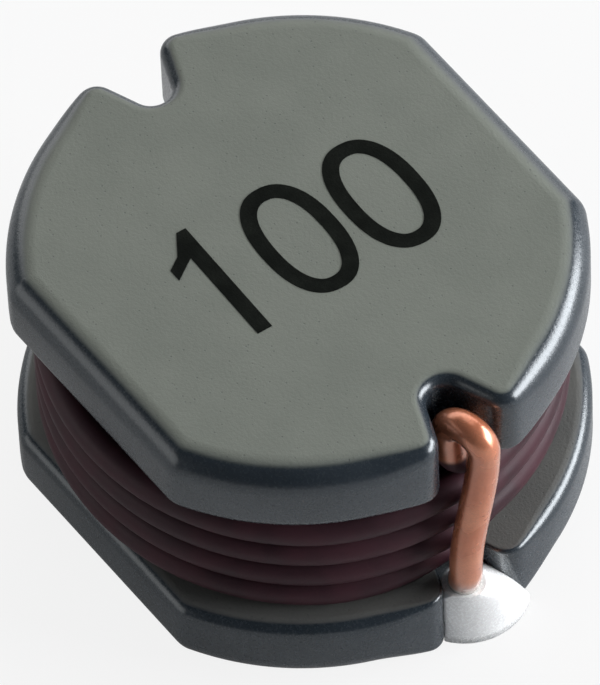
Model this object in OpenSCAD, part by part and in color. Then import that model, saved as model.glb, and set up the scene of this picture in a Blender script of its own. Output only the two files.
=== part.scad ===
// Drum-core surface-mount power inductor: a one-piece ferrite drum with two notched flanges,
// one enamelled copper wire wound on it in three layers, and a soldered terminal at each end.
// X runs through the two notches, Y across the two flats, Z up from the board. Millimetres.

/* [Ferrite core] */
// Length of the core across its two round ends
core_length = 7.8; // [7.4:0.1:9]
// Width of the core across its two flats
core_width = 6.95; // [6.4:0.05:7.2]
// Height of the ferrite, without the terminals under it
core_height = 4.75; // [4.3:0.05:6]
// Thickness of each flange
flange_thickness = 1.18; // [0.9:0.02:1.4]
// Diameter of the round post that carries the winding
post_diameter = 4.5; // [4.2:0.05:4.8]
// Rounding along the outer edges of both flanges
edge_round = 0.32; // [0.2:0.01:0.4]
// Small rounding along the flange edges that face the winding
groove_edge_round = 0.06; // [0.02:0.01:0.1]

/* [Notches] */
// Depth of each notch, measured in from the round end
notch_depth = 0.92; // [0.8:0.02:1]
// Width of each notch between its walls, where they meet the round end
notch_mouth = 1.1; // [1:0.02:1.3]
// Radius of the rounded floor of each notch
notch_floor_radius = 0.27; // [0.22:0.01:0.32]
// Rounding where the walls of a notch turn into the round end
notch_corner_round = 0.32; // [0.2:0.01:0.4]

/* [Wire] */
// Diameter of the enamelled wire
wire_diameter = 0.45; // [0.36:0.01:0.46]
// Space between neighbouring turns, and between the winding and the ferrite
turn_gap = 0.02; // [0.015:0.005:0.04]
// How far the bend of the finish lead stays below the top face
hook_depth = 0.36; // [0.32:0.02:0.5]

/* [Terminals] */
// Thickness of the metal pads under the lower flange
pad_thickness = 0.08; // [0.04:0.01:0.15]
// Bare ferrite between the two pads
pad_spacing = 3.4; // [2.6:0.1:4]
// Distance from a round end in to the middle of the soldered wire end
tail_setback = 0.2; // [0.16:0.01:0.26]
// Height of the solder where it climbs the wire
solder_height = 1.1; // [0.9:0.05:1.15]
// Thickness of the solder round the wire at that height
solder_collar = 0.06; // [0.03:0.01:0.1]
// How far the solder swells out past the round end
solder_swell = 0.2; // [0.15:0.01:0.25]

/* [Hidden] */

// Heights and radii that follow from the core
core_radius = core_length / 2;
post_radius = post_diameter / 2;
core_bottom = pad_thickness;
core_top = core_bottom + core_height;
window_bottom = core_bottom + flange_thickness;
window_top = core_top - flange_thickness;
window_height = window_top - window_bottom;
edge_steps = 4;
overlap = 0.01;

// Notch: a round floor, two straight walls and a rounded corner from each wall to the round end
floor_x = core_radius - notch_depth + notch_floor_radius;
mouth_run = core_radius - floor_x;
wall_angle = atan2(notch_mouth / 2, mouth_run)
    - asin(notch_floor_radius / norm([mouth_run, notch_mouth / 2]));
wall_along = [cos(wall_angle), sin(wall_angle)];
wall_out = [-sin(wall_angle), cos(wall_angle)];
corner_from = [floor_x, 0] + (notch_floor_radius + notch_corner_round) * wall_out;
corner_reach = core_radius - notch_corner_round + overlap / 2;
corner_run = corner_from * wall_along;
corner = corner_from
    + (sqrt(corner_run * corner_run - corner_from * corner_from + corner_reach * corner_reach) - corner_run)
    * wall_along;
notch_overrun = 0.6;
floor_steps = 6;
corner_steps = 6;

// Winding: lanes are the turns side by side on the post, layers lie one on another
wire_radius = wire_diameter / 2;
lane_pitch = wire_diameter + turn_gap;
layer_pitch = wire_diameter + turn_gap / 2;
lanes = floor((window_height - turn_gap) / lane_pitch);
top_lane = lanes - 1;
lane_base = window_bottom + (window_height - top_lane * lane_pitch) / 2;
top_turn_z = lane_base + top_lane * lane_pitch;
inner_radius = post_radius + turn_gap + wire_radius;
outer_radius = inner_radius + 2 * layer_pitch;
winding_radius = outer_radius + wire_radius;
wire_sides = 8;

// The wire turns clockwise, seen from above, from the place where it settles on the post.
// The marks below are shares of a turn past that place.
settle_angle = 130;
steps_per_turn = 30;
ramp_share = 0.2;
start_lead_passed = 0.01;
lowest_lane_reached = 0.25;
climb_from = 0.45;
climb_to = 0.83;
leave_share = 0.32;
third_layer = 2 * lanes - 3;
winding_steps = round((third_layer + top_lane + leave_share) * steps_per_turn);

// Lane and layer that the wire is in, each against the turns wound so far
lane_marks = concat(
    [[0, 0], [top_lane, top_lane], [top_lane + ramp_share, top_lane],
     [third_layer + start_lead_passed, 1 + ramp_share], [third_layer + lowest_lane_reached, 0]],
    [for (i = [0:top_lane - 1])
        each [[third_layer + climb_from + i, i], [third_layer + climb_to + i, i + 1]]]);
layer_marks = [[0, 0], [top_lane, 0], [top_lane + ramp_share, 1],
               [third_layer + ramp_share, 1], [third_layer + climb_from, 2]];

// Leads: both ends stand upright in the lower notches, a little to one side of the notch's middle
lead_gap = 2 * turn_gap;
tail_x = core_radius - tail_setback;
tail_y = -0.12;
tail_bottom = 0.12;
start_bend = 0.8 * wire_diameter;
start_angle = 170;
start_steps = 5;

// The finish lead rises in the upper notch, bends over and runs down outside the winding
rise_radius = 0.3;
rise_y = 0;
rise_steps = 4;
hook_leg_x = max(outer_radius - 2 * lead_gap, core_radius - notch_depth + wire_radius + lead_gap);
lead_x = max(winding_radius, hook_leg_x + wire_radius) + lead_gap + wire_radius;
hook_radius = (lead_x - hook_leg_x) / 2;
hook_z = core_top - hook_depth - hook_radius;
hook_inner_y = -0.05;
hook_outer_y = 0.12;
hook_steps = 9;
lead_low_y = -0.22;
lead_low_z = window_bottom + wire_diameter;
lead_steps = 8;
tail_steps = 6;

// Solder: a slightly hollow cone round the wire end, cut to a round outer skin. It leans to one side
// of the notch and laps round that corner on to the round end.
solder_bore_gap = 0.02;
solder_skin_radius = 0.9;
solder_skin_y = 0.25;
solder_skin_x = core_radius + solder_swell - solder_skin_radius;
solder_foot = 1.5;
solder_hollow_ratio = 1.15;
solder_steps = 6;

// Pads stay clear of the rounded edge of the flange
pad_edge_gap = 0.04;
pad_margin = edge_round + pad_edge_gap;

// Side of a flange in section, from its lower to its upper rounded corner
function rounded_side(reach, low, high, low_round, high_round) = concat(
    [for (i = [0:edge_steps]) let (a = 90 * i / edge_steps)
        [reach - low_round + low_round * sin(a), low + low_round - low_round * cos(a)]],
    [for (i = [0:edge_steps]) let (a = 90 * i / edge_steps)
        [reach - high_round + high_round * cos(a), high - high_round + high_round * sin(a)]]);

function with_mirror(side) = concat(side, [for (i = [len(side) - 1:-1:0]) [-side[i][0], side[i][1]]]);

// Plan of the notch at +X: its floor, its walls, and the rounded corners where they meet the rim
notch_floor = [for (i = [0:floor_steps])
    let (a = 90 + wall_angle + (180 - 2 * wall_angle) * i / floor_steps)
    [floor_x + notch_floor_radius * cos(a), notch_floor_radius * sin(a)]];

corner_first = wall_angle - 90;
corner_last = atan2(corner[1], corner[0]);

notch_corner = [for (i = [0:corner_steps])
    let (a = corner_first + (corner_last - corner_first) * i / corner_steps)
    corner + notch_corner_round * [cos(a), sin(a)]];

function flip(p) = [p[0], -p[1]];

function outward(p) = [core_radius + notch_overrun, p[1]];

notch_plan = concat(
    notch_floor,
    [for (p = notch_corner) flip(p)],
    [outward(flip(notch_corner[corner_steps])), outward(notch_corner[corner_steps])],
    [for (i = [corner_steps:-1:0]) notch_corner[i]]);

// One flange: a round disc cut to two flats, with a notch in each round end
module flange(low, high, low_round, high_round) {
    difference() {
        intersection() {
            rotate_extrude($fn = 96)
                polygon(concat(
                    [[0, low]],
                    rounded_side(core_radius, low, high, low_round, high_round),
                    [[0, high]]));
            rotate([90, 0, 90])
                translate([0, 0, -core_length])
                    linear_extrude(2 * core_length)
                        polygon(with_mirror(
                            rounded_side(core_width / 2, low, high, low_round, high_round)));
        }
        for (turn = [0, 180])
            rotate(turn)
                translate([0, 0, low - overlap])
                    linear_extrude(high - low + 2 * overlap)
                        polygon(notch_plan);
    }
}

module drum_core() {
    color([0.45, 0.47, 0.44])
        union() {
            flange(core_bottom, window_bottom, edge_round, groove_edge_round);
            translate([0, 0, window_bottom - overlap])
                cylinder(r = post_radius, h = window_height + 2 * overlap, $fn = 96);
            flange(window_top, core_top, groove_edge_round, edge_round);
        }
}

// Points along the wire
function ease(u) = u * u * (3 - 2 * u);

function between(a, b, u) = a + (b - a) * u;

function on_circle(radius, angle, z) = [radius * cos(angle), radius * sin(angle), z];

function winding_point(turns) =
    let (layer = lookup(turns, layer_marks), under = floor(layer))
    on_circle(
        inner_radius + layer_pitch * (under + ease(layer - under)),
        settle_angle - 360 * turns,
        lane_base + lane_pitch * lookup(turns, lane_marks));

// The start lead stands in the lower notch, bends into the lowest lane and runs in to the post
start_lead = concat(
    [[-tail_x, -tail_y, tail_bottom]],
    [for (i = [0:start_steps])
        let (u = i / start_steps, a = 180 - 90 * u)
        [between(-tail_x, -outer_radius, ease(u)),
         -tail_y + start_bend + start_bend * cos(a),
         lane_base - start_bend + start_bend * sin(a)]],
    [for (i = [0:start_steps - 1])
        let (u = i / start_steps)
        on_circle(
            between(outer_radius, inner_radius, ease(u)),
            between(start_angle, settle_angle, u),
            lane_base)]);

turns_on_post = [for (i = [0:winding_steps]) winding_point(i / steps_per_turn)];

// The finish lead leaves the top turn, bends over inside the upper notch and ends in the lower one
finish_lead = concat(
    [for (i = [0:rise_steps])
        let (u = i / rise_steps, a = -90 - 90 * u)
        [between(outer_radius, hook_leg_x, ease(u)),
         rise_y + rise_radius + rise_radius * cos(a),
         top_turn_z + rise_radius + rise_radius * sin(a)]],
    [for (i = [0:hook_steps])
        let (u = i / hook_steps, a = 180 - 180 * u)
        [hook_leg_x + hook_radius + hook_radius * cos(a),
         between(hook_inner_y, hook_outer_y, u),
         hook_z + hook_radius * sin(a)]],
    [for (i = [1:lead_steps])
        let (u = i / lead_steps)
        [lead_x, between(hook_outer_y, lead_low_y, ease(u)), between(hook_z, lead_low_z, u)]],
    [for (i = [1:tail_steps])
        let (u = i / tail_steps)
        [between(lead_x, tail_x, ease(u)), between(lead_low_y, tail_y, ease(u)),
         between(lead_low_z, solder_height, u)]],
    [[tail_x, tail_y, tail_bottom]]);

wire_path = concat(start_lead, turns_on_post, finish_lead);
finish_from = len(start_lead) + len(turns_on_post);
last_point = len(wire_path) - 1;

// Directions along the wire, and across it: out from the post, then carried on along the finish lead
function unit(v) = v / norm(v);

function across(v, along) = unit(v - (v * along) * along);

function from_post(i) = [wire_path[i][0], wire_path[i][1], 0];

wire_along = [for (i = [0:last_point])
    unit(wire_path[min(i + 1, last_point)] - wire_path[max(i - 1, 0)])];
wire_across = [
    for (i = 0, v = across(from_post(0), wire_along[0]);
         i <= last_point;
         i = i + 1, v = i > last_point ? v : across(i < finish_from ? from_post(i) : v, wire_along[i]))
        v];

function wire_ring(i) =
    let (out = wire_across[i], up = cross(wire_along[i], out))
    [for (j = [0:wire_sides - 1])
        let (a = 360 * (j + 0.5) / wire_sides)
        wire_path[i] + wire_radius * (cos(a) * out + sin(a) * up)];

module wire_winding() {
    rings = [for (i = [0:last_point]) each wire_ring(i)];
    skin = [for (i = [0:last_point - 1]) for (j = [0:wire_sides - 1])
        let (k = (j + 1) % wire_sides, a = i * wire_sides, b = a + wire_sides)
        each [[a + j, b + j, b + k], [a + j, b + k, a + k]]];
    first_end = [for (j = [0:wire_sides - 1]) j];
    last_end = [for (j = [wire_sides - 1:-1:0]) last_point * wire_sides + j];
    color([0.42, 0.20, 0.15])
        polyhedron(rings, concat(skin, [first_end, last_end]));
}

// Metal pad under the +X end of the lower flange, open at the notch
module pad_plan() {
    difference() {
        intersection() {
            circle(core_radius - pad_margin, $fn = 96);
            translate([pad_spacing / 2, -core_width / 2 + pad_margin])
                square([core_length, core_width - 2 * pad_margin]);
        }
        polygon(notch_plan);
    }
}

module terminal_pad() {
    color([0.75, 0.76, 0.76])
        linear_extrude(pad_thickness)
            pad_plan();
}

// Solder that fills the lower notch at +X and climbs the upright wire end
module solder_joint() {
    bore_radius = wire_radius + solder_bore_gap;
    collar = bore_radius + solder_collar;
    slope = [for (i = [0:solder_steps])
        let (u = i / solder_steps)
        [between(collar, solder_foot, pow(1 - u, solder_hollow_ratio)), solder_height * u]];
    color([0.78, 0.79, 0.80])
        difference() {
            intersection() {
                translate([tail_x, tail_y, 0])
                    rotate_extrude($fn = 64)
                        polygon(concat([[0, 0]], slope, [[0, solder_height]]));
                translate([solder_skin_x, solder_skin_y, 0])
                    cylinder(r = solder_skin_radius, h = solder_height, $fn = 96);
            }
            flange(core_bottom, window_bottom, edge_round, groove_edge_round);
            translate([0, 0, -overlap])
                linear_extrude(pad_thickness + 2 * overlap)
                    pad_plan();
            translate([tail_x, tail_y, tail_bottom - solder_bore_gap])
                cylinder(r = bore_radius, h = solder_height, $fn = 48);
        }
}

module terminal_pad_start() {
    rotate(180)
        terminal_pad();
}

module terminal_pad_finish() {
    terminal_pad();
}

module solder_joint_start() {
    rotate(180)
        solder_joint();
}

module solder_joint_finish() {
    solder_joint();
}

drum_core();
wire_winding();
terminal_pad_start();
terminal_pad_finish();
solder_joint_start();
solder_joint_finish();
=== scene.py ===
import math

import bpy
import numpy as np
from mathutils import Matrix, Vector


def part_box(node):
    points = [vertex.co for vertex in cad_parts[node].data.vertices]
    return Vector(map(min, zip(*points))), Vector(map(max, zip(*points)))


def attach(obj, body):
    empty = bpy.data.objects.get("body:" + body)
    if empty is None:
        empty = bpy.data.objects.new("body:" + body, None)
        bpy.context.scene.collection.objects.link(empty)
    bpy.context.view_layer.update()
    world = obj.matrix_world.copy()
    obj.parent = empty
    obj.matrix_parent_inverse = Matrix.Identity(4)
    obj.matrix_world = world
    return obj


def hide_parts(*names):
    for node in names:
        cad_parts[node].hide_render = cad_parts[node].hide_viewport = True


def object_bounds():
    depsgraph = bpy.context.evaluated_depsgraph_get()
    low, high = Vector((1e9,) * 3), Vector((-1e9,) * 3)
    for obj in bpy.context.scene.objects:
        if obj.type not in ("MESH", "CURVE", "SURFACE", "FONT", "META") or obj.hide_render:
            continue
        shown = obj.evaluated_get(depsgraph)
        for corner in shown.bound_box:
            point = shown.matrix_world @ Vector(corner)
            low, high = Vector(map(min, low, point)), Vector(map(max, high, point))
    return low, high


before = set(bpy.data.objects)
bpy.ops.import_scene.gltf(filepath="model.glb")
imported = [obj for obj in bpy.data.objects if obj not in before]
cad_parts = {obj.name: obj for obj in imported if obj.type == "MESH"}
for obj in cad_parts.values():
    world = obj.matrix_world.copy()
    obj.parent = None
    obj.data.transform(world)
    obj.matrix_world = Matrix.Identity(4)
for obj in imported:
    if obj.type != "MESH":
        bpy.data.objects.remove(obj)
cad_low, cad_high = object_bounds()


# Drum core. One piece of ferrite powder, pressed in a die and fired: two flanges of the same
# outline with a round post between them. Tumbling has rounded its outer edges, its flat faces
# are dull, and the sides that slid along the die are a little glossy. Sides and rims are painted
# far darker and bluer than the faces, as painted shade with a painted bluish reflection, and the
# flanges' inner faces are painted darker, as painted shade under the overhang.
mm = 0.001
core_low, core_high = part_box("drum_core")
core_radius = 3.9 * mm
half_width = core_high.y
flange_thickness = 1.18 * mm
post_radius = 2.25 * mm
window_low = core_low.z + flange_thickness
window_high = core_high.z - flange_thickness
core_middle = (core_low.z + core_high.z) / 2
notch_depth = 0.92 * mm
notch_half_mouth = 0.55 * mm
notch_floor_radius = 0.27 * mm
notch_corner_radius = 0.32 * mm
flat_corner_radius = 0.42 * mm
rim_edge_radius = 0.41 * mm
notch_top_edge_radius = 0.2 * mm
notch_under_edge_radius = 0.04 * mm
notch_window_edge_radius = 0.06 * mm
rim_window_edge_radius = 0.22 * mm

# The notch's floor is an arc round (floor_x, 0). Its walls leave that arc at wall_angle and turn
# into the round end along arcs round corner_centre.
floor_x = core_radius - notch_depth + notch_floor_radius
mouth_run = core_radius - floor_x
wall_angle = math.atan2(notch_half_mouth, mouth_run) - math.asin(
    notch_floor_radius / math.hypot(mouth_run, notch_half_mouth))
wall_along = np.array([math.cos(wall_angle), math.sin(wall_angle)])
wall_inward = np.array([-math.sin(wall_angle), math.cos(wall_angle)])
corner_start = np.array([floor_x, 0]) + (notch_floor_radius + notch_corner_radius) * wall_inward
corner_run = corner_start @ wall_along
corner_reach = core_radius - notch_corner_radius
corner_centre = corner_start + wall_along * (
    math.sqrt(corner_run ** 2 - corner_start @ corner_start + corner_reach ** 2) - corner_run)
rim_starts = math.atan2(corner_centre[1], corner_centre[0])
bend_points = 9
wall_points = 7
rim_points = 34
flat_points = 8


def ease(share):
    """The same share, with a gentle start and stop."""
    return share * share * (3 - 2 * share)


def blend(first, last, share):
    """The value at that share of the way from first to last."""
    return first + (last - first) * share


def arc(centre, radius, first, last, steps):
    """Points on an arc with the directions out from its centre."""
    angle = np.linspace(first, last, steps)
    out = np.stack([np.cos(angle), np.sin(angle)], axis=1)
    return np.array(centre) + radius * out, out


def quarter_outline():
    """Points of the flange's outline from a notch to the middle of a flat, and inward directions."""
    quarter_turn = math.pi / 2
    flat_centre_y = half_width - flat_corner_radius
    flat_centre_x = math.sqrt((core_radius - flat_corner_radius) ** 2 - flat_centre_y ** 2)
    rim_ends = math.atan2(flat_centre_y, flat_centre_x)
    floor, floor_out = arc(
        (floor_x, 0), notch_floor_radius, math.pi, quarter_turn + wall_angle, bend_points)
    corner, corner_out = arc(
        corner_centre, notch_corner_radius, wall_angle - quarter_turn, rim_starts, bend_points)
    rim, rim_out = arc((0, 0), core_radius, rim_starts, rim_ends, rim_points)
    turn, turn_out = arc(
        (flat_centre_x, flat_centre_y), flat_corner_radius, rim_ends, quarter_turn, bend_points)
    wall = np.linspace(floor[-1], corner[0], wall_points)[1:-1]
    flat = np.linspace(turn[-1], (0, half_width), flat_points)[1:]
    points = np.concatenate([floor, wall, corner, rim[1:-1], turn, flat])
    inward = np.concatenate([
        floor_out, np.tile(wall_inward, (len(wall), 1)), -corner_out, -rim_out[1:-1],
        -turn_out, np.tile((0.0, -1.0), (len(flat), 1))])
    return points, inward


def whole_outline():
    """The quarter, mirrored to the full outline in counterclockwise order."""
    points, inward = quarter_outline()
    across = np.array([-1.0, 1.0])
    half = np.concatenate([points, (points * across)[-2::-1]])
    half_inward = np.concatenate([inward, (inward * across)[-2::-1]])
    return np.concatenate([half, -half[1:-1]]), np.concatenate([half_inward, -half_inward[1:-1]])


outline, outline_inward = whole_outline()

# Outer edges are rounded most along the rim and the flats, and least in the notches.
from_notch = np.abs(np.arctan2(outline[:, 1], np.abs(outline[:, 0])))
rounding_grows_from = 0.5 * rim_starts
rounding_grows_over = 1.5 * rim_starts
rim_share = ease(np.clip((from_notch - rounding_grows_from) / rounding_grows_over, 0, 1))
top_edge_radius = blend(notch_top_edge_radius, rim_edge_radius, rim_share)
under_edge_radius = blend(notch_under_edge_radius, rim_edge_radius, rim_share)
groove_radius = blend(notch_window_edge_radius, rim_window_edge_radius, rim_share)
edge_turns = np.radians(np.linspace(0, 90, 11))


def edge_ring(radius, turn, z, up):
    """The outline on a rounded edge: turn 0 is on the side, and a quarter turn on the flat face."""
    inset = (radius * (1 - np.cos(turn)))[:, None] * outline_inward
    height = z - up * radius * (1 - np.sin(turn))
    return np.column_stack([outline + inset, height])


def round_post(radius, angle, z):
    """Points at those angles round the post's axis."""
    return np.column_stack([
        radius * np.cos(angle), radius * np.sin(angle), np.broadcast_to(z, angle.shape)])


def post_ring(z):
    """A ring on the post, with a point below or above each point of the outline."""
    return round_post(post_radius, np.arctan2(outline[:, 1], outline[:, 0]), z)


def skin_of(rings, smooth_strips):
    """Faces between closed rings of equal length, with a cap on each end, and which are smooth."""
    count = len(rings[0])
    faces = [tuple(range(count))[::-1]]
    smooth = [False]
    for strip in range(len(rings) - 1):
        here, there = strip * count, (strip + 1) * count
        for i in range(count):
            k = (i + 1) % count
            faces.append((here + i, here + k, there + k, there + i))
            smooth.append(smooth_strips[strip])
    faces.append(tuple(range((len(rings) - 1) * count, len(rings) * count)))
    smooth.append(False)
    return np.concatenate(rings), faces, smooth


def mesh_piece(name, points, faces, smooth):
    """A new mesh object in the part's own frame."""
    mesh = bpy.data.meshes.new(name)
    mesh.from_pydata([tuple(p) for p in points], [], faces)
    mesh.polygons.foreach_set("use_smooth", smooth)
    mesh.update()
    piece = bpy.data.objects.new(name, mesh)
    bpy.context.scene.collection.objects.link(piece)
    return piece


core_rings = (
    [post_ring(core_low.z)]
    + [edge_ring(under_edge_radius, t, core_low.z, -1) for t in edge_turns[::-1]]
    + [edge_ring(groove_radius, t, window_low, 1) for t in edge_turns[::2]]
    + [post_ring(window_low), post_ring(window_high)]
    + [edge_ring(groove_radius, t, window_high, -1) for t in edge_turns[::-2]]
    + [edge_ring(top_edge_radius, t, core_high.z, 1) for t in edge_turns]
    + [post_ring(core_high.z)])
level_within = 0.001 * mm
core_smooth = [np.ptp(np.concatenate([ring, following])[:, 2]) > level_within
               for ring, following in zip(core_rings, core_rings[1:])]
core = mesh_piece("ferrite_core", *skin_of(core_rings, core_smooth))
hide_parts("drum_core")
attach(core, "root")


def new_group(name, inputs, outputs):
    """An empty shader node group with float inputs, given with their defaults, and float outputs."""
    group = bpy.data.node_groups.new(name, "ShaderNodeTree")
    for label, value in inputs.items():
        socket = group.interface.new_socket(label, in_out="INPUT", socket_type="NodeSocketFloat")
        socket.default_value = value
    for label in outputs:
        group.interface.new_socket(label, in_out="OUTPUT", socket_type="NodeSocketFloat")
    return group, group.nodes.new("NodeGroupInput"), group.nodes.new("NodeGroupOutput")


def add_node(tree, kind, links=(), **values):
    """A node in the tree: links gives (input, socket) pairs, values its input sockets by name."""
    node = tree.nodes.new(kind)
    for label, value in values.items():
        node.inputs[label.replace("_", " ")].default_value = value
    for label, socket in links:
        tree.links.new(socket, node.inputs[label])
    return node


def math_node(tree, operation, first, second):
    """A Math node; each operand is a socket or a number."""
    node = tree.nodes.new("ShaderNodeMath")
    node.operation = operation
    for index, operand in enumerate((first, second)):
        if isinstance(operand, (int, float)):
            node.inputs[index].default_value = operand
        else:
            tree.links.new(operand, node.inputs[index])
    return node.outputs[0]


def between(tree, value, low, high, to_low=0.0, to_high=1.0):
    """A socket that runs smoothly from to_low to to_high as value runs from low to high."""
    node = tree.nodes.new("ShaderNodeMapRange")
    node.interpolation_type = "SMOOTHSTEP"
    tree.links.new(value, node.inputs["Value"])
    ends = {"From Min": low, "From Max": high, "To Min": to_low, "To Max": to_high}
    for label, number in ends.items():
        node.inputs[label].default_value = number
    return node.outputs["Result"]


# A Mix node has its two colours in these inputs and the mixed colour in this output.
mix_first, mix_second, mix_result = 6, 7, 2


def mix_colours(tree, factor, first, second):
    """A colour between two; each is a socket or an (r, g, b)."""
    node = tree.nodes.new("ShaderNodeMix")
    node.data_type = "RGBA"
    tree.links.new(factor, node.inputs["Factor"])
    for index, colour in ((mix_first, first), (mix_second, second)):
        if isinstance(colour, tuple):
            node.inputs[index].default_value = (*colour, 1.0)
        else:
            tree.links.new(colour, node.inputs[index])
    return node.outputs[mix_result]


def along_axes(tree, vector):
    """The X, Y and Z sockets of a vector socket."""
    return add_node(tree, "ShaderNodeSeparateXYZ", [("Vector", vector)]).outputs


def place_on_piece(tree):
    """The place of the shaded point in the part's own frame, in metres."""
    return tree.nodes.new("ShaderNodeTexCoord").outputs["Object"]


def grain_group():
    """Grain of a fired, tinned or printed surface: soft blotches, fine grain and scattered pores."""
    sizes = {"Grain size": 0.05 * mm, "Blotch size": 0.8 * mm}
    pores_per_grain = 0.4
    group, given, put = new_group("surface_grain", sizes, ("Blotch", "Grain", "Pore"))
    place = place_on_piece(group)
    grain_scale = math_node(group, "DIVIDE", 1.0, given.outputs["Grain size"])
    blotch_scale = math_node(group, "DIVIDE", 1.0, given.outputs["Blotch size"])
    pore_scale = math_node(group, "MULTIPLY", grain_scale, pores_per_grain)
    blotch = add_node(group, "ShaderNodeTexNoise", [("Vector", place), ("Scale", blotch_scale)],
                      Detail=3.0)
    grain = add_node(group, "ShaderNodeTexNoise", [("Vector", place), ("Scale", grain_scale)],
                     Detail=4.0, Roughness=0.65)
    pore = add_node(group, "ShaderNodeTexVoronoi", [("Vector", place), ("Scale", pore_scale)])
    shares = {"Blotch": between(group, blotch.outputs["Fac"], 0.3, 0.7),
              "Grain": between(group, grain.outputs["Fac"], 0.25, 0.75),
              "Pore": between(group, pore.outputs["Distance"], 0.06, 0.16, 1.0, 0.0)}
    for label, share in shares.items():
        group.links.new(share, put.inputs[label])
    return group


surface_grain = grain_group()


def new_material(name):
    """A material with its Principled shader and its node tree."""
    material = bpy.data.materials.new(name)
    material.use_nodes = True
    return material.node_tree, material.node_tree.nodes["Principled BSDF"], material


def grain_in(tree, grain_size, blotch_size):
    """The shared grain, placed in a material with its own sizes."""
    node = tree.nodes.new("ShaderNodeGroup")
    node.node_tree = surface_grain
    node.inputs["Grain size"].default_value = grain_size
    node.inputs["Blotch size"].default_value = blotch_size
    return node.outputs


def uneven_roughness(tree, shader, base, specks, rise):
    """A roughness of base, a socket or a number, that the specks raise by up to rise."""
    raised = math_node(tree, "MULTIPLY", specks, rise)
    tree.links.new(math_node(tree, "ADD", raised, base), shader.inputs["Roughness"])


def bump(tree, shader, height, depth):
    """A relief of that depth in metres on the shader's surface."""
    node = add_node(tree, "ShaderNodeBump", [("Height", height)], Strength=1.0, Distance=depth)
    tree.links.new(node.outputs["Normal"], shader.inputs["Normal"])


# The upright share of the surface's normal at which the glossy rim, painted dark as shade, ends and
# the dull face begins, and the depth below the outer faces at which their own colour begins; the
# inner faces below that depth are painted darker, as painted shade.
rim_upright = 0.87
face_upright = 0.995
outer_face_depth = 0.1 * mm


def ferrite():
    """Dull grey faces; glossier rims and sides with painted shade and a painted bluish reflection;
    inner faces with painted shade; fine grain and pits.
    """
    tree, shader, material = new_material("fired_ferrite")
    grain = grain_in(tree, 0.045 * mm, 0.9 * mm)
    normal = along_axes(tree, tree.nodes.new("ShaderNodeNewGeometry").outputs["Normal"])
    upright = math_node(tree, "ABSOLUTE", normal["Z"], 0.0)
    level = between(tree, upright, rim_upright, face_upright)
    above_middle = math_node(tree, "SUBTRACT", along_axes(tree, place_on_piece(tree))["Z"], core_middle)
    from_middle = math_node(tree, "ABSOLUTE", above_middle, 0.0)
    outer = between(tree, from_middle, window_high - core_middle,
                    core_high.z - outer_face_depth - core_middle)
    face = mix_colours(tree, grain["Blotch"], (0.134, 0.145, 0.119), (0.151, 0.162, 0.134))
    # The inner faces' darker grey is painted shade under the flanges.
    inner = mix_colours(tree, grain["Blotch"], (0.072, 0.070, 0.065), (0.092, 0.089, 0.081))
    # The rims' and sides' near-black bluish colour is painted shade with a painted bluish reflection.
    side = mix_colours(tree, grain["Blotch"], (0.013, 0.019, 0.026), (0.021, 0.028, 0.036))
    body = mix_colours(tree, level, side, mix_colours(tree, outer, inner, face))
    specks = math_node(tree, "MULTIPLY", grain["Grain"], between(tree, level, 0.0, 1.0, 0.03, 0.14))
    speckled = mix_colours(tree, specks, body, (0.20, 0.215, 0.195))
    pits = math_node(tree, "MULTIPLY", grain["Pore"], 0.35)
    pitted = mix_colours(tree, pits, speckled, (0.03, 0.033, 0.032))
    tree.links.new(pitted, shader.inputs["Base Color"])
    uneven_roughness(tree, shader, between(tree, level, 0.0, 1.0, 0.22, 0.70), grain["Grain"], 0.08)
    shader.inputs["IOR"].default_value = 1.65
    shader.inputs["Specular Tint"].default_value = (0.94, 0.98, 1.0, 1.0)
    relief = math_node(tree, "SUBTRACT", grain["Grain"], grain["Pore"])
    on_faces = math_node(tree, "MULTIPLY", relief, between(tree, level, 0.0, 1.0, 0.35, 1.0))
    bump(tree, shader, on_faces, 0.0022 * mm)
    return material


core.data.materials.append(ferrite())


# Winding. One length of enamelled copper wire, wound clockwise on the post in three layers. Its
# start stands in one lower notch; its finish rises in the upper notch over the other, bends over
# and runs down outside the turns. Both ends are tinned where they are soldered.
wire_radius = 0.225 * mm
turn_gap = 0.02 * mm
lead_gap = 2 * turn_gap
lane_pitch = 2 * wire_radius + turn_gap
lanes = int((window_high - window_low - turn_gap) / lane_pitch)
top_lane = lanes - 1
lane_base = (window_low + window_high - top_lane * lane_pitch) / 2
top_turn_z = lane_base + top_lane * lane_pitch
inner_radius = post_radius + turn_gap / 8 + wire_radius
outer_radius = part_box("wire_winding")[1].y - wire_radius
layer_pitch = (outer_radius - inner_radius) / 2
third_layer = 2 * lanes - 3
points_per_turn = 90
lead_bend_points = 13
leg_points = 10
lead_run_points = 25
wire_sides = 30

# The wire settles on the post at settle_angle. The marks are shares of a turn past that place:
# where the wire ramps up a layer, passes the start lead, reaches the lowest lane, climbs from lane
# to lane in the outer layer, and leaves the winding.
start_angle = math.radians(170)
settle_angle = math.radians(130)
ramp_share = 0.2
start_lead_passed = 0.01
lowest_lane_reached = 0.25
climb_from = 0.45
climb_to = 0.83
leave_share = 1 / 3
turns_wound = third_layer + top_lane + leave_share
lane_marks = [
    (0, 0), (top_lane, top_lane), (top_lane + ramp_share, top_lane),
    (third_layer + start_lead_passed, 1 + ramp_share), (third_layer + lowest_lane_reached, 0)]
for lane in range(top_lane):
    lane_marks += [(third_layer + climb_from + lane, lane), (third_layer + climb_to + lane, lane + 1)]
layer_marks = [
    (0, 0), (top_lane, 0), (top_lane + ramp_share, 1),
    (third_layer + ramp_share, 1), (third_layer + climb_from, 2)]

# Both ends stand upright in the lower notches, a little to one side of the notch's middle.
tail_setback = 0.2 * mm
tail_x = core_radius - tail_setback
tail_y = -0.12 * mm
tail_bottom = 0.12 * mm
solder_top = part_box("solder_joint_finish")[1].z


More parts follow.
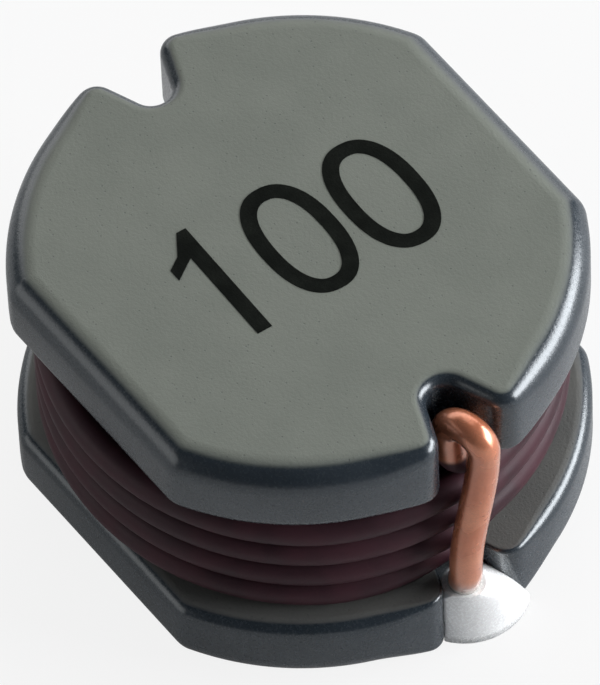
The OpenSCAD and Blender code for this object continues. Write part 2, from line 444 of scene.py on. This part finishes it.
def start_lead():
    """Up from the solder, over into the lowest lane and in to the post."""
    bend = 1.6 * wire_radius
    share = np.linspace(0, 1, lead_bend_points)
    angle = np.pi * (1 - share / 2)
    up = [(-tail_x, -tail_y, tail_bottom), (-tail_x, -tail_y, solder_top)]
    over = np.column_stack([
        blend(-tail_x, -outer_radius, ease(share)), -tail_y + bend + bend * np.cos(angle),
        lane_base - bend + bend * np.sin(angle)])
    inward = round_post(blend(outer_radius, inner_radius, ease(share[:-1])),
                        blend(start_angle, settle_angle, share[:-1]), lane_base)
    return np.concatenate([up, over, inward])


def wound_turns():
    """The three layers: up, down and up again."""
    turns = np.linspace(0, turns_wound, round(turns_wound * points_per_turn))
    lane = np.interp(turns, *zip(*lane_marks))
    layer = np.interp(turns, *zip(*layer_marks))
    under = np.floor(layer)
    radius = inner_radius + layer_pitch * (under + ease(layer - under))
    return round_post(radius, settle_angle - 2 * np.pi * turns, lane_base + lane_pitch * lane)


def finish_lead():
    """Up from the top turn, over inside the upper notch, down outside the turns, into the solder."""
    rise_radius = 0.3 * mm
    hook_depth = 0.36 * mm
    hook_y = (-0.05 * mm, 0.12 * mm)
    low_y = -0.22 * mm
    low_z = window_low + 2 * wire_radius
    hook_leg_x = max(outer_radius - 1.5 * lead_gap,
                     core_radius - notch_depth + wire_radius + lead_gap)
    lead_x = max(outer_radius, hook_leg_x) + 2 * wire_radius + lead_gap
    hook_radius = (lead_x - hook_leg_x) / 2
    hook_z = core_high.z - hook_depth - hook_radius
    share = np.linspace(0, 1, lead_bend_points)
    angle = -np.pi / 2 * (1 + share)
    rise_y = rise_radius + rise_radius * np.cos(angle)
    rise = np.column_stack([
        blend(np.sqrt(outer_radius ** 2 - rise_y ** 2), hook_leg_x, ease(share)), rise_y,
        top_turn_z + rise_radius + rise_radius * np.sin(angle)])
    share = np.linspace(0, 1, leg_points)[1:-1]
    leg = np.column_stack([
        np.full(len(share), hook_leg_x), hook_y[0] * ease(share),
        blend(top_turn_z + rise_radius, hook_z, share)])
    share = np.linspace(0, 1, lead_run_points)
    angle = np.pi * (1 - share)
    hook = np.column_stack([
        hook_leg_x + hook_radius + hook_radius * np.cos(angle), blend(*hook_y, ease(share)),
        hook_z + hook_radius * np.sin(angle)])
    share = share[1:]
    down = np.column_stack([
        np.full(len(share), lead_x), blend(hook_y[1], low_y, ease(share)),
        blend(hook_z, low_z, share)])
    tail = np.column_stack([
        blend(lead_x, tail_x, ease(share)), blend(low_y, tail_y, ease(share)),
        blend(low_z, solder_top, share)])
    return np.concatenate([rise, leg, hook, down, tail, [(tail_x, tail_y, tail_bottom)]])


def tube_along(path, radius, sides):
    """Rings of a round tube along a path, each turned as little as possible from the last."""
    along = np.gradient(path, axis=0)
    along /= np.linalg.norm(along, axis=1)[:, None]
    angle = np.linspace(0, 2 * np.pi, sides, endpoint=False)
    across = np.array([1.0, 0.0, 0.0])
    rings = []
    for point, ahead in zip(path, along):
        across = across - (across @ ahead) * ahead
        across /= np.linalg.norm(across)
        up = np.cross(ahead, across)
        out = np.cos(angle)[:, None] * across + np.sin(angle)[:, None] * up
        rings.append(point + radius * out)
    return rings


wire_path = np.concatenate([start_lead(), wound_turns(), finish_lead()])
wire_rings = tube_along(wire_path, wire_radius, wire_sides)
wire = mesh_piece("copper_winding", *skin_of(wire_rings, [True] * (len(wire_rings) - 1)))
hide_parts("wire_winding")
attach(wire, "root")


# The tin on the upright ends fades out between these heights above the solder.
tin_full = 0.02 * mm
tin_ends = 0.2 * mm


def enamelled_wire():
    """Turns painted near-black maroon as painted shade, clear enamel on the leads, and tin at the
    solder.
    """
    tree, shader, material = new_material("enamelled_copper_wire")
    grain = grain_in(tree, 0.03 * mm, 0.6 * mm)
    place = along_axes(tree, place_on_piece(tree))
    tinned = between(tree, place["Z"], solder_top + tin_full, solder_top + tin_ends, 1.0, 0.0)
    from_axis = math_node(tree, "POWER", math_node(
        tree, "ADD", math_node(tree, "POWER", place["X"], 2.0),
        math_node(tree, "POWER", place["Y"], 2.0)), 0.5)
    outside = between(tree, from_axis, outer_radius + wire_radius, outer_radius + 1.4 * wire_radius)
    above = between(tree, place["Z"], top_turn_z + wire_radius, top_turn_z + 1.6 * wire_radius)
    lead = math_node(tree, "MAXIMUM", outside, above)
    # The turns' near-black maroon is painted shade from the flanges over them, with a painted purplish
    # reflection.
    turns_painted_shade = mix_colours(tree, grain["Blotch"], (0.025, 0.0065, 0.0120), (0.046, 0.0115, 0.0195))
    enamel = mix_colours(tree, grain["Blotch"], (0.61, 0.195, 0.095), (0.74, 0.290, 0.160))
    coloured = mix_colours(tree, lead, turns_painted_shade, enamel)
    flecks = math_node(tree, "MULTIPLY", grain["Grain"], 0.2)
    flecked = mix_colours(tree, flecks, coloured, (0.055, 0.024, 0.022))
    with_tin = mix_colours(tree, tinned, flecked, (0.62, 0.58, 0.53))
    tree.links.new(with_tin, shader.inputs["Base Color"])
    uneven_roughness(tree, shader, between(tree, lead, 0.0, 1.0, 0.5, 0.24), grain["Blotch"], 0.1)
    tree.links.new(between(tree, lead, 0.0, 1.0, 0.1, 0.5), shader.inputs["Metallic"])
    tree.links.new(between(tree, lead, 0.0, 1.0, 0.0, 0.9), shader.inputs["Coat Weight"])
    shader.inputs["Coat Roughness"].default_value = 0.2
    shader.inputs["Specular IOR Level"].default_value = 0.3
    bump(tree, shader, grain["Grain"], 0.0006 * mm)
    return material


wire.data.materials.append(enamelled_wire())


# Terminal pads. A thin silver layer fired on the underside of the lower flange at each end and
# dipped in tin, dull from the plating bath. They keep their plain solid form.
def tinned_silver():
    """Dull, slightly blotchy tin."""
    tree, shader, material = new_material("tinned_silver_pad")
    grain = grain_in(tree, 0.03 * mm, 0.5 * mm)
    tin = mix_colours(tree, grain["Blotch"], (0.60, 0.60, 0.58), (0.74, 0.74, 0.72))
    tree.links.new(tin, shader.inputs["Base Color"])
    uneven_roughness(tree, shader, 0.34, grain["Grain"], 0.2)
    shader.inputs["Metallic"].default_value = 1.0
    bump(tree, shader, grain["Grain"], 0.0015 * mm)
    return material


pad_metal = tinned_silver()
for name in ("terminal_pad_start", "terminal_pad_finish"):
    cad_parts[name].data.materials.clear()
    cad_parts[name].data.materials.append(pad_metal)


# Solder joints. Bright solder fills each lower notch, wets its walls and climbs the upright wire
# end in a hollow fillet. Its round skin stands proud of the round end, leans to one side of the
# notch, laps round that corner and runs out there in a low toe.
solder_skin_radius = 0.9 * mm
solder_skin_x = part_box("solder_joint_finish")[1].x - solder_skin_radius
solder_skin_y = 0.25 * mm
solder_collar = 0.08 * mm
collar_radius = wire_radius + solder_collar
fillet_foot = 1.5 * mm
fillet_hollow = 1.15
shoulder_inset = 0.28
shoulder_grows = math.radians(30)
toe_round = 0.4 * mm
toe_fall = 0.94
points_round_joint = 96
fillet_shares = np.linspace(1, 0.02, 14)[1:]
halvings = 30


def solder_reach(angle):
    """Distance from the middle of the wire end to the notch's walls or the solder's skin."""
    # Halves the span between a reach that is inside the solder and one that is past it.
    low = np.zeros_like(angle)
    high = np.full_like(angle, 2 * solder_skin_radius)
    for _ in range(halvings):
        reach = (low + high) / 2
        x = tail_x + reach * np.cos(angle)
        y = np.abs(tail_y + reach * np.sin(angle))
        past_floor = x - floor_x + notch_floor_radius * math.sin(wall_angle)
        wall_y = notch_floor_radius * math.cos(wall_angle) + past_floor * math.tan(wall_angle)
        in_floor = np.hypot(x - floor_x, y) < notch_floor_radius
        past_wall = x * wall_along[0] + y * wall_along[1] > corner_centre @ wall_along
        off_corner = np.hypot(x - corner_centre[0], y - corner_centre[1]) > notch_corner_radius
        in_notch = np.where(past_floor > 0, y < wall_y, in_floor) | (past_wall & off_corner)
        free = np.where(np.arctan2(y, x) > rim_starts, np.hypot(x, y) > core_radius, in_notch)
        from_skin_axis = np.hypot(x - solder_skin_x, tail_y + reach * np.sin(angle) - solder_skin_y)
        inside = free & (from_skin_axis < solder_skin_radius)
        low = np.where(inside, reach, low)
        high = np.where(inside, high, reach)
    return low


def solder_rings():
    """Rings from the underside, up the outer skin and over the fillet to the wire."""
    angle = np.linspace(0, 2 * np.pi, points_round_joint, endpoint=False)
    way = np.column_stack([np.cos(angle), np.sin(angle)])
    tail = np.array([tail_x, tail_y])
    by_wire = tail + wire_radius * way
    reach = solder_reach(angle)
    at_skin = tail + reach[:, None] * way
    toe = at_skin[np.argmax(reach)]

    def fillet(points):
        from_tail = np.hypot(*(points - tail).T)
        out = np.clip((from_tail - collar_radius) / (fillet_foot - collar_radius), 0, 1)
        by_toe = 1 - np.clip(np.hypot(*(points - toe).T) / toe_round, 0, 1)
        return solder_top * (1 - out ** (1 / fillet_hollow)) * np.sqrt(1 - toe_fall * by_toe ** 2)

    from_skin_axis = np.hypot(*(at_skin - (solder_skin_x, solder_skin_y)).T)
    on_wall = from_skin_axis < solder_skin_radius - turn_gap
    from_wall = np.abs(np.angle(np.exp(1j * (angle[:, None] - angle[on_wall])))).min(axis=1)
    inset = shoulder_inset * ease(np.clip(from_wall / shoulder_grows, 0, 1))

    def toward_skin(share):
        return by_wire + share[:, None] * (at_skin - by_wire)

    shoulder = fillet(toward_skin(1 - inset))
    rings = [np.column_stack([by_wire, np.zeros(len(angle))])]
    for turn in edge_turns:
        points = toward_skin(1 - inset * (1 - np.cos(turn)))
        rings.append(np.column_stack([points, shoulder * np.sin(turn)]))
    for share in fillet_shares:
        points = toward_skin(share * (1 - inset))
        rings.append(np.column_stack([points, fillet(points)]))
    return rings


def bright_solder():
    """Pale, slightly uneven solder."""
    tree, shader, material = new_material("bright_solder")
    grain = grain_in(tree, 0.04 * mm, 0.35 * mm)
    bright = mix_colours(tree, grain["Blotch"], (0.92, 0.92, 0.91), (0.98, 0.98, 0.97))
    tree.links.new(bright, shader.inputs["Base Color"])
    uneven_roughness(tree, shader, 0.18, grain["Grain"], 0.16)
    shader.inputs["Metallic"].default_value = 0.15
    bump(tree, shader, grain["Blotch"], 0.004 * mm)
    return material


solder_metal = bright_solder()
joint_rings = solder_rings()
round_strips = len(joint_rings) - 2
points, faces, smooth = skin_of(joint_rings, [False] + [True] * round_strips)
for end, side in (("finish", 1), ("start", -1)):
    joint = mesh_piece(f"solder_fillet_{end}", points * (side, side, 1), faces, smooth)
    joint.data.materials.append(solder_metal)
    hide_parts(f"solder_joint_{end}")
    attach(joint, "root")


# Value marking. Three plain digits stamped in black ink on the top face, the usual code for an
# inductance. The ink lies a few microns proud and is a little uneven; the row sits slightly turned.
digit_height = 1.98 * mm
zero_width = 1.17 * mm
stroke = 0.225 * mm
ink_thickness = 0.006 * mm
row_turn = math.radians(-4.2)
digit_turn = math.radians(-1.5)
row_centre = np.array([0.012 * mm, 0.027 * mm])
row_right = np.array([-math.sin(row_turn), math.cos(row_turn)])
row_up = np.array([-math.cos(digit_turn), -math.sin(digit_turn)])
one_right = -1.232 * mm
last_zero_right = 1.307 * mm
oval_points = 72
oval_power = 0.86


def on_top(points, right, z):
    """Digit points, given to the right and up in the row, laid on the top face."""
    flat = row_centre + np.outer(points[:, 0] + right, row_right) + np.outer(points[:, 1], row_up)
    return np.column_stack([flat, np.full(len(flat), z)])


def oval(half_w, half_h):
    """A slightly squared oval, as in a plain sans zero."""
    angle = np.linspace(0, 2 * np.pi, oval_points, endpoint=False)
    c, s = np.cos(angle), np.sin(angle)
    return np.column_stack([
        half_w * np.sign(c) * np.abs(c) ** oval_power, half_h * np.sign(s) * np.abs(s) ** oval_power])


def printed_zero(name, right):
    """A ring of ink, that far to the right of the row's middle."""
    outer = oval(zero_width / 2, digit_height / 2)
    inner = oval(zero_width / 2 - stroke, digit_height / 2 - stroke)
    low, high = core_high.z, core_high.z + ink_thickness
    rings = [on_top(inner, right, low), on_top(outer, right, low), on_top(outer, right, high),
             on_top(inner, right, high)]
    count = len(outer)
    faces = []
    for r in range(len(rings)):
        here, there = r * count, (r + 1) % len(rings) * count
        for i in range(count):
            k = (i + 1) % count
            faces.append((here + i, here + k, there + k, there + i))
    return mesh_piece(name, np.concatenate(rings), faces, [False] * len(faces))


def printed_one(name, right):
    """A stem and flag of ink, that far to the right of the row's middle."""
    half = digit_height / 2
    edge = stroke / 2
    stem = [(-edge, -half), (edge, -half), (edge, half)]
    # The flag's points, in half strokes across and in strokes down from the top
    flag = [(-0.3, 0.0), (-2.2, 1.5), (-4.0, 2.1), (-4.0, 3.0), (-1.0, 2.0)]
    shape = np.array(stem + [(across * edge, half - down * stroke) for across, down in flag])
    rings = [on_top(shape, right, core_high.z), on_top(shape, right, core_high.z + ink_thickness)]
    return mesh_piece(name, *skin_of(rings, [False]))


def black_ink():
    """Matt ink, paler where it is thin."""
    tree, shader, material = new_material("black_stamp_ink")
    grain = grain_in(tree, 0.04 * mm, 0.3 * mm)
    thin = math_node(tree, "MULTIPLY", grain["Grain"], grain["Blotch"])
    black = mix_colours(tree, thin, (0.0025, 0.0035, 0.0025), (0.010, 0.012, 0.0095))
    tree.links.new(black, shader.inputs["Base Color"])
    uneven_roughness(tree, shader, 0.65, grain["Grain"], 0.2)
    shader.inputs["Specular IOR Level"].default_value = 0.06
    bump(tree, shader, grain["Grain"], 0.002 * mm)
    return material


ink = black_ink()
digits = [printed_one("ink_digit_one", one_right), printed_zero("ink_digit_zero_a", 0.0),
          printed_zero("ink_digit_zero_b", last_zero_right)]
for digit in digits:
    digit.data.materials.append(ink)
    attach(digit, "root")


# Table, light and camera. A white table under the part, a small softbox over it, three lamps for
# the pale walls behind and to the left and the window on the right, a little light from all round,
# and a long lens that looks down on the near notch.
table_half = 0.25
table_top = -0.005 * mm
table_grey = (0.64, 0.64, 0.64, 1.0)
table_seen = 0.86
room_seen = 1.0
mirrored_white = 0.1
room_light = 0.08
room_colour = (0.76, 0.88, 1.0, 1.0)


def white_share(tree, seen):
    """How much plain white is shown to the camera, and to what mirrors it or lets it through."""
    path = tree.nodes.new("ShaderNodeLightPath").outputs
    to_pieces = math_node(tree, "MAXIMUM", path["Is Glossy Ray"], path["Is Transmission Ray"])
    return math_node(tree, "MAXIMUM", math_node(tree, "MULTIPLY", path["Is Camera Ray"], seen),
                     math_node(tree, "MULTIPLY", to_pieces, mirrored_white))


def table_white():
    """A matt table that looks white and still keeps the part's shadow."""
    tree, shader, material = new_material("white_table")
    shader.inputs["Base Color"].default_value = table_grey
    shader.inputs["Roughness"].default_value = 1.0
    shader.inputs["Specular IOR Level"].default_value = 0.0
    shine = add_node(tree, "ShaderNodeEmission", Color=(1.0, 1.0, 1.0, 1.0), Strength=1.0)
    mixed = tree.nodes.new("ShaderNodeMixShader")
    tree.links.new(white_share(tree, table_seen), mixed.inputs[0])
    tree.links.new(shader.outputs[0], mixed.inputs[1])
    tree.links.new(shine.outputs[0], mixed.inputs[2])
    tree.links.new(mixed.outputs[0], tree.nodes["Material Output"].inputs["Surface"])
    return material


table_corners = [(x * table_half, y * table_half, table_top)
                 for x, y in ((-1, -1), (1, -1), (1, 1), (-1, 1))]
table = mesh_piece("table", table_corners, [(0, 1, 2, 3)], [False])
table.data.materials.append(table_white())

world = bpy.data.worlds.new("pale_room")
world.use_nodes = True
room = world.node_tree
walls = room.nodes["Background"]
walls.inputs["Color"].default_value = room_colour
room_strength = math_node(room, "MAXIMUM", white_share(room, room_seen), room_light)
room.links.new(room_strength, walls.inputs["Strength"])
bpy.context.scene.world = world

part_centre = (cad_low + cad_high) / 2
soft_white = (1.0, 0.985, 0.95)
wall_white = (1.0, 0.99, 0.97)
day_white = (0.95, 0.97, 1.0)


def area_lamp(name, place, width, height, power, colour):
    """A flat lamp turned to the middle of the part."""
    lamp = bpy.data.lights.new(name, "AREA")
    lamp.shape = "RECTANGLE"
    lamp.size = width
    lamp.size_y = height
    lamp.energy = power
    lamp.color = colour
    holder = bpy.data.objects.new(name, lamp)
    holder.location = place
    holder.rotation_euler = (part_centre - Vector(place)).to_track_quat("-Z", "Y").to_euler()
    bpy.context.scene.collection.objects.link(holder)


area_lamp("ceiling_softbox", (-0.03, 0.05, 0.11),
          width=0.07, height=0.07, power=0.015, colour=soft_white)
area_lamp("back_wall", (-0.125, 0.072, 0.07),
          width=0.30, height=0.14, power=0.24, colour=wall_white)
area_lamp("left_wall", (-0.06, -0.13, 0.045),
          width=0.16, height=0.08, power=0.055, colour=wall_white)
area_lamp("right_window", (0.055, 0.085, 0.036),
          width=0.10, height=0.05, power=0.23, colour=day_white)

camera_azimuth = math.radians(54.96)
camera_elevation = math.radians(55.08)
camera_roll = math.radians(2.67)
camera_distance = 0.165
picture_height = 685
focal_pixels = 12258
back = Vector((math.sin(camera_azimuth) * math.cos(camera_elevation),
               -math.cos(camera_azimuth) * math.cos(camera_elevation), math.sin(camera_elevation)))
right = Vector((math.cos(camera_azimuth), math.sin(camera_azimuth), 0))
up = back.cross(right)
turned_right = right * math.cos(camera_roll) - up * math.sin(camera_roll)
turned_up = right * math.sin(camera_roll) + up * math.cos(camera_roll)
camera_aim = Vector((-0.016, -0.022, 2.42)) * mm
lens = bpy.data.cameras.new("long_lens")
lens.sensor_width = 36
lens.lens = lens.sensor_width * focal_pixels / picture_height
lens.clip_start = 0.001
camera = bpy.data.objects.new("camera", lens)
camera.matrix_world = Matrix.Translation(camera_aim + back * camera_distance) @ Matrix(
    (turned_right, turned_up, back)).transposed().to_4x4()
bpy.context.scene.collection.objects.link(camera)
bpy.context.scene.camera = camera
bpy.context.scene.view_settings.view_transform = "Standard"
